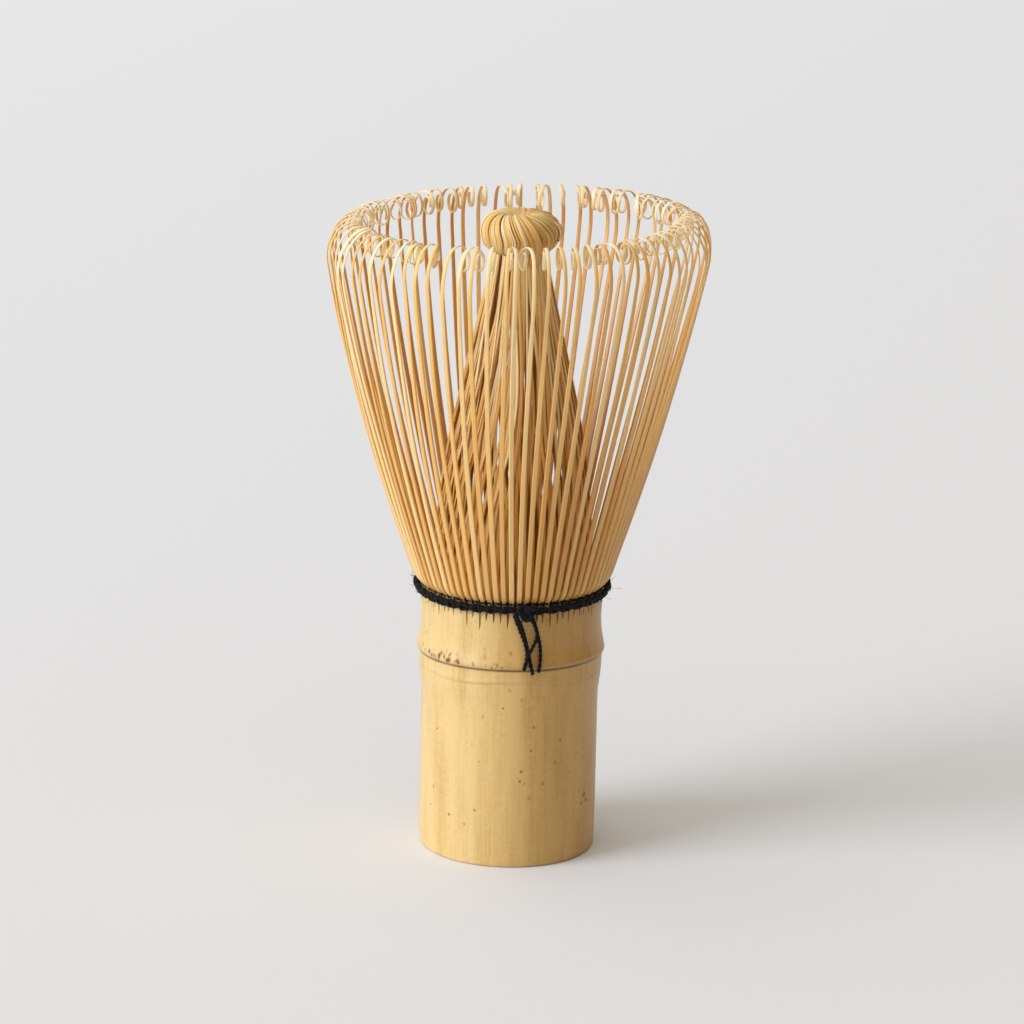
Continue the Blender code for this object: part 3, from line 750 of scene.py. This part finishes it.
def make_knob(material):
    """The gathered ends: every tine goes out from the neck, up over the belly and in to the dimple,
    swept round on the way. Each stave's ten lie over the next stave's, and the sweep grows from
    the left of the front to its right."""
    own = np.random.default_rng(8)
    line = smooth_line(KNOB_LINE, 32)
    share = np.linspace(0, 1, 32)
    even = np.arange(INNER_TINES) * PITCH / 2 + np.radians(10)
    tone = own.uniform(0.3, 0.85, INNER_TINES)
    facing = np.cos(even - np.radians(-15))
    sweep_by = np.radians(10 + 34 * (0.5 + 0.5 * facing))
    spread = smoothstep(0.0, 0.3, share)
    angle = even[:, None] - sweep_by[:, None] * (1.6 * smoothstep(0.1, 1.0, share) - 0.6 * spread)
    angle = angle + own.normal(0, np.radians(3.2), (INNER_TINES, 1)) * share
    order = np.arange(INNER_TINES) % INNER_PER_STAVE
    lift = -0.12 + 0.028 * order[:, None] + own.uniform(-0.12, 0.13, (INNER_TINES, 1))
    middle = np.array([0, 99.5])
    away = unit(line - middle)
    reach = np.sin(np.pi * np.clip(share * 1.1, 0, 1)) ** 0.6
    radius = line[:, 0] + lift * reach * away[:, 0]
    height = line[:, 1] + lift * reach * away[:, 1]
    paths = np.stack([radius * np.cos(angle), radius * np.sin(angle), height], -1)
    paths[..., 1] -= 0.7 * smoothstep(0.55, 1.0, share)
    along = unit(np.gradient(paths, axis=1))
    centre = np.array([0, 0, 99.5])
    across = np.cross(unit(paths - centre), along)
    width = np.interp(share, [0, 0.35, 0.7, 1], [0.26, 0.33, 0.28, 0.16])
    width = own.uniform(0.9, 1.15, (INNER_TINES, 1)) * width
    depth = np.broadcast_to(np.interp(share, [0, 0.5, 1], [0.22, 0.26, 0.16]), width.shape)
    points, faces = sweep(paths, across, ROUND_STRIP, width, depth)
    rind = (ROUND_STRIP[:, 1] > 0.4).astype(float)
    floats = {
        "rind": np.tile(rind, INNER_TINES * len(line)),
        "tone": np.repeat(tone, len(line) * len(ROUND_STRIP)),
    }
    piece = put_piece("knob_strands", points, outward(points, faces), material, floats)
    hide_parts("core_knob")
    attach(piece, "root")

    # A few ends lie loose over the parting at the front and run down past the knob into the neck.
    stray = own.uniform(0.0, 1.0, (9, 1))
    run = np.linspace(0, 1, 32)
    low = np.radians(-72 + 26 * (stray - 0.5) + own.normal(0, 3, (9, 1)))
    angle = low - np.radians(34 + 10 * stray) * smoothstep(0.12, 0.95, run)
    lift = own.uniform(0.1, 0.5, (9, 1)) * np.sin(np.pi * np.clip(run * 1.05, 0, 1)) ** 0.5
    radius = line[:, 0] + lift * away[:, 0]
    height = line[:, 1] + lift * away[:, 1] - 1.6 * (1 - smoothstep(0, 0.25, run))
    strays = np.stack([radius * np.cos(angle), radius * np.sin(angle), height], -1)
    strays[..., 1] -= 0.7 * smoothstep(0.55, 1.0, run)
    across = np.cross(unit(strays - centre), unit(np.gradient(strays, axis=1)))
    width = np.broadcast_to(np.interp(run, [0, 0.4, 1], [0.5, 0.56, 0.3]), lift.shape)
    points, faces = sweep(strays, across, ROUND_STRIP, width, 0.6 * width)
    floats = {
        "rind": np.tile(rind, 9 * len(run)),
        "tone": np.repeat(own.uniform(0.35, 0.8, 9), len(run) * len(ROUND_STRIP)),
    }
    piece = put_piece("knob_stray_strands", points, outward(points, faces), material, floats)
    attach(piece, "root")

    # A few ends that have sprung out of the right side as thin loops, and a packed heart inside.
    turn = np.radians(own.uniform(-28, 12, 6))[:, None]
    along_loop = np.linspace(0, 1, 26)[None, :]
    bulge = own.uniform(0.6, 1.3, (6, 1)) * np.sin(np.pi * along_loop)
    tall = np.radians(-50 + own.uniform(100, 125, (6, 1)) * along_loop)
    reach = 5.7 + bulge
    turn = turn + own.uniform(-0.35, 0.35, (6, 1)) * (along_loop - 0.5)
    loops = np.stack([np.cos(turn) * np.cos(tall) * reach, np.sin(turn) * np.cos(tall) * reach], -1)
    rise = 99.5 + 0.52 * reach * np.sin(tall)
    loops = np.concatenate([loops, rise[..., None]], -1)
    points, faces = strand_rings(loops, 0.15, 6)
    floats = {"rind": np.full(len(points), 0.6), "tone": np.full(len(points), 0.9)}
    piece = put_piece("knob_loose_loops", points, outward(points, faces), material, floats)
    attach(piece, "root")


def make_knob_heart(material):
    """What shows between the knob's strands: the ends packed inside, as one rounded lump with its
    bottom in the neck. radius = the knob's line less half a millimetre."""
    line = smooth_line(KNOB_LINE, 24)[:-2]
    radius = np.maximum(line[:, 0] - 0.42, 0.3)
    angle = np.arange(48) * 2 * np.pi / 48
    height = 99.4 + (line[:, 1] - 99.4) * 0.9
    ring = np.stack(
        [radius[:, None] * np.cos(angle), radius[:, None] * np.sin(angle), np.repeat(height[:, None], 48, 1)],
        -1,
    ).reshape(-1, 3)
    ring = ring + [0, -0.35, 0] * smoothstep(101, 102.5, ring[:, 2:])
    faces = grid_quads(len(line), 48).tolist()
    faces += [list(range(47, -1, -1)), list(range((len(line) - 1) * 48, len(line) * 48))]
    floats = {"rind": np.full(len(ring), 0.3), "tone": np.full(len(ring), 0.35)}
    piece = put_piece("knob_heart", ring, outward(ring, faces), material, floats, sharp=80)
    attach(piece, "root")


# ---- the thread ---------------------------------------------------------------------------------
def plied(path, ply_radius, lay, plies=2, wobble=0.0):
    """Paths of the plies of a twisted strand: each goes round the strand's own line once in lay
    millimetres, at the radius that makes neighbours touch. A wobble loosens the lay at random."""
    along = unit(np.gradient(path, axis=0))
    spare = np.where(np.abs(along[:, 2:]) > 0.8, [[1.0, 0, 0]], [[0, 0, 1.0]])
    first = unit(np.cross(along, spare))
    second = np.cross(along, first)
    run = np.concatenate([[0], np.cumsum(np.linalg.norm(np.diff(path, axis=0), axis=1))])
    loose = run * 2 * np.pi / run[-1]
    phase = run / lay * 2 * np.pi + (np.arange(plies) * 2 * np.pi / plies)[:, None]
    phase = phase + 6 * wobble * ripples(loose, 6, int(run[-1] / 2) + 2, 91)
    reach = ply_radius / np.sin(np.pi / plies) * 0.9 * (1 + wobble * ripples(loose, 6, int(run[-1]) + 2, 92))
    return path[None] + reach[None, :, None] * (
        first[None] * np.cos(phase)[..., None] + second[None] * np.sin(phase)[..., None]
    )


def thread_piece(name, paths, radius, material, nodes, sides=7):
    """A thread piece made of plied strands, riding on the culm's body."""
    points, faces = strand_rings(paths, radius, sides)
    piece = put_piece(name, points, outward(points, faces), material, sharp=80)
    if nodes:
        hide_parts(*nodes)
    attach(piece, "root")
    return piece


def make_thread(material):
    """Two turns round the outside, the lower on the culm and the upper on the tines' kick; one that
    weaves behind the outer tines and shows between them; the knot, its ends and the lint."""
    turn = np.linspace(0, 4 * np.pi, 1900)
    start = np.radians(-80)
    angle = start + turn
    rise = smoothstep(0.42, 0.58, turn / (4 * np.pi))
    beat = angle / PITCH * 2 * np.pi + 0.8 * ripples(angle, 6, 20, 54)
    lumps = 0.12 * np.cos(beat) + 0.13 * ripples(angle + 3 * rise, 10, 60, 51)
    radius = 14.9 + 0.34 * rise + lumps
    sag = 0.13 * np.sin(beat * 0.5 + 3 * rise) + 0.17 * ripples(angle + turn, 10, 60, 52)
    height = 42.3 + 0.68 * rise + sag
    path = np.stack([radius * np.cos(angle), radius * np.sin(angle), height], -1)
    turns = plied(path, 0.175, 1.8, plies=3, wobble=0.3)
    thread_piece("thread_outer_turns", turns, 0.22, material, ["thread_outer_rounds"])

    turn = np.linspace(0, 2 * np.pi, 1700)
    angle = start + turn
    gap = np.cos(angle / PITCH * 2 * np.pi)
    radius = 14.15 + 0.32 * gap
    height = 43.38 + 0.3 * gap + 0.16 * ripples(angle, 8, 50, 53)
    path = np.stack([radius * np.cos(angle), radius * np.sin(angle), height], -1)
    thread_piece("thread_weave", plied(path, 0.2, 1.6), 0.25, material, ["thread_weave_round"])

    # The knot: a trefoil pressed flat against the band.
    turn = np.linspace(0, 2 * np.pi, 260)
    flat = 0.5 * (np.sin(turn) + 2 * np.sin(2 * turn))
    tall = 0.36 * (np.cos(turn) - 2 * np.cos(2 * turn))
    away = 15.62 - 0.34 * np.sin(3 * turn)
    middle = np.radians(-81) + flat / 15.6
    path = np.stack([away * np.cos(middle), away * np.sin(middle), 42.4 + tall], -1)
    thread_piece("tied_knot", plied(path, 0.23, 1.4, wobble=0.2), 0.26, material, ["thread_knot"])

    # The four ends: how far right of the front, how high and how far from the axis.
    left = (
        ((0.6, 42.6, 15.9), (0.98, 41.6, 15.9), (1.66, 39.9, 15.5))
        + ((2.5, 36.8, 15.0), (3.2, 33.6, 15.3), (3.5, 32.3, 15.35)),
        ((0.4, 42.2, 15.7), (0.7, 41.3, 15.7), (1.3, 39.6, 15.3))
        + ((2.2, 37.2, 15.0), (2.55, 35.2, 15.1), (2.1, 33.1, 15.3)),
    )
    right = (
        ((2.6, 42.6, 15.9), (3.2, 41.4, 15.9), (4.1, 38.8, 15.4))
        + ((4.55, 36.6, 15.0), (4.62, 34.4, 15.2), (4.4, 32.6, 15.35)),
        ((2.9, 42.2, 15.7), (3.5, 41.0, 15.7), (4.05, 38.6, 15.3))
        + ((3.35, 36.6, 15.35), (2.66, 35.2, 15.5), (2.15, 33.0, 15.4)),
    )
    for name, node, ends in (
        ("loose_ends_left", "thread_tail_left", left),
        ("loose_ends_right", "thread_tail_right", right),
    ):
        plies = []
        for end in ends:
            x, z, reach = smooth_line(end, 90).T
            path = np.stack([x, -np.sqrt(reach**2 - x**2), z], -1)
            plies.append(plied(path, 0.165, 1.5, wobble=0.12))
        thread_piece(name, np.concatenate(plies), 0.18, material, [node], sides=6)

    # Lint: short fine hairs that stand off the band, curved and mostly level.
    own = np.random.default_rng(5)
    count = 900
    share = np.linspace(0, 1, 6)[None, :, None]
    place = own.uniform(0, 2 * np.pi, count)
    place[:90] = np.radians(-81) + own.normal(0, 0.11, 90)
    outwards = np.stack([np.cos(place), np.sin(place), np.zeros(count)], -1)
    sideways = np.stack([-np.sin(place), np.cos(place), np.zeros(count)], -1)
    rise = own.uniform(-0.8, 0.5, (count, 1))
    root = outwards * (15.1 + 0.2 * rise) + [0, 0, 42.7] + rise * [[0, 0, 1.0]]
    reach = own.gamma(2.0, 0.22, (count, 1)) + 0.25
    direction = 0.6 * outwards + own.normal(0, 0.9, (count, 1)) * sideways
    direction = direction + own.normal(0, 0.8, (count, 1)) * [[0, 0, 1.0]]
    direction = unit(direction + own.normal(0, 0.2, (count, 3)))
    bend = own.normal(0, 0.3, (count, 3))
    hairs = root[:, None] + (direction * reach)[:, None] * share + bend[:, None] * reach[:, None] * share**2
    thread_piece("thread_lint", hairs, 0.02, material, [], sides=3)


# ---- stage, lights, camera ----------------------------------------------------------------------
def make_stage():
    """A wide pale table top with painted light: its colour is a little lighter towards the window and the back.
    """
    mesh = bpy.data.meshes.new("table_top")
    half = 4.0
    corners = [(-half, -half, 0), (half, -half, 0), (half, half, 0), (-half, half, 0)]
    mesh.from_pydata(corners, [], [(0, 1, 2, 3)])
    material, tree, shader = new_material("matt_white_table")
    place = add(tree, "ShaderNodeTexCoord").outputs["Object"]
    sides = add(tree, "ShaderNodeSeparateXYZ", {}, {"Vector": place})
    # Painted light: lighter towards the window on the left and towards the back.
    painted_window_light = times_plus(tree, sides.outputs["X"], -0.5, 0.4)
    painted_window_light = times_plus(tree, sides.outputs["Y"], 0.18, painted_window_light)
    tone = stops(
        add(tree, "ShaderNodeValToRGB", {}, {"Fac": painted_window_light}),
        [(0.25, "#E2E1DF"), (0.75, "#F3F3F4")],
    )
    tree.links.new(tone.outputs[0], shader.inputs["Base Color"])
    shader.inputs["Roughness"].default_value = 0.8
    mesh.materials.append(material)
    floor = bpy.data.objects.new("table_top", mesh)
    bpy.context.scene.collection.objects.link(floor)


# Which way the surround is brightest.
WINDOW_SIDE = (-0.4, -0.1, 0.91)


def make_lights():
    """A soft, cool key from the left and a little in front, and a warm surround that is pale above
    and on the left and falls away to a dim brown low on the right. The surround's tone follows the
    direction's dot product with WINDOW_SIDE."""
    world = bpy.data.worlds.new("studio")
    bpy.context.scene.world = world
    world.use_nodes = True
    tree = world.node_tree
    facing = add(tree, "ShaderNodeTexCoord").outputs["Generated"]
    toward = add(
        tree,
        "ShaderNodeVectorMath",
        {"operation": "DOT_PRODUCT"},
        {0: facing, 1: WINDOW_SIDE},
    )
    ramp = add(
        tree,
        "ShaderNodeMapRange",
        {},
        {"Value": toward.outputs["Value"], "From Min": -1.0, "From Max": 1.0},
    )
    walls = stops(
        add(tree, "ShaderNodeValToRGB", {}, {"Fac": ramp.outputs[0]}),
        [(0.0, "#0E0B08"), (0.3, "#30261A"), (0.55, "#80765F"), (0.7, "#C6BFAF"), (0.95, "#FFFFFF")],
    )
    background = tree.nodes["Background"]
    tree.links.new(walls.outputs[0], background.inputs["Color"])
    background.inputs["Strength"].default_value = 0.93

    data = bpy.data.lights.new("window_left", "SUN")
    data.energy = 2.16
    data.angle = np.radians(34)
    data.color = (0.91, 0.97, 1.12)
    light = bpy.data.objects.new("window_left", data)
    bpy.context.scene.collection.objects.link(light)
    lift, turn = np.radians(25.5), np.radians(26)
    direction = Vector((np.cos(lift) * np.cos(turn), np.cos(lift) * np.sin(turn), -np.sin(lift)))
    light.rotation_mode = "QUATERNION"
    light.rotation_quaternion = direction.to_track_quat("-Z", "Y")


def make_camera():
    """A long lens at the table's edge, looking down a little, with a slight roll."""
    data = bpy.data.cameras.new("camera")
    data.sensor_width = 36.0
    data.lens = 150.1
    camera = bpy.data.objects.new("camera", data)
    bpy.context.scene.collection.objects.link(camera)
    place = Matrix.Translation((-0.0003, -0.6506, 0.2280))
    pitch = Matrix.Rotation(np.pi / 2 - 0.2607, 4, "X")
    roll = Matrix.Rotation(0.0229, 4, "Z")
    camera.matrix_world = place @ pitch @ roll
    data.clip_start = 0.01
    data.clip_end = 20
    bpy.context.scene.camera = camera


def main():
    """Camera, lights and stage first, then the bamboo and the thread."""
    make_camera()
    make_lights()
    make_stage()
    bpy.context.scene.view_settings.view_transform = "Standard"
    culm_skin = dried_culm_skin()
    outer = split_bamboo(
        "split_bamboo_strip",
        [(0.1, "#DEA655"), (0.4, "#EAB968"), (0.7, "#F3CD88"), (1.0, "#FBE6BC")],
        [(0.1, "#CC9044"), (0.4, "#DCA558"), (0.7, "#EABE7A"), (1.0, "#F8DEAC")],
        0.42,
        (50, 80),
    )
    inner = split_bamboo(
        "shaved_bamboo_flesh",
        [(0.1, "#D29440"), (0.4, "#E2A950"), (0.8, "#F1C67C"), (1.1, "#FAE3B0")],
        [(0.1, "#BF7E32"), (0.4, "#D09444"), (0.8, "#E2B066"), (1.1, "#F0CE94")],
        0.5,
        (150, 200),
    )
    thread = black_cotton_thread()
    culm = make_culm(culm_skin)
    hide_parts("handle_culm")
    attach(culm, "root")
    make_outer_tines(outer)
    make_inner_tines(inner)
    make_knob(inner)
    make_knob_heart(inner)
    make_thread(thread)


main()
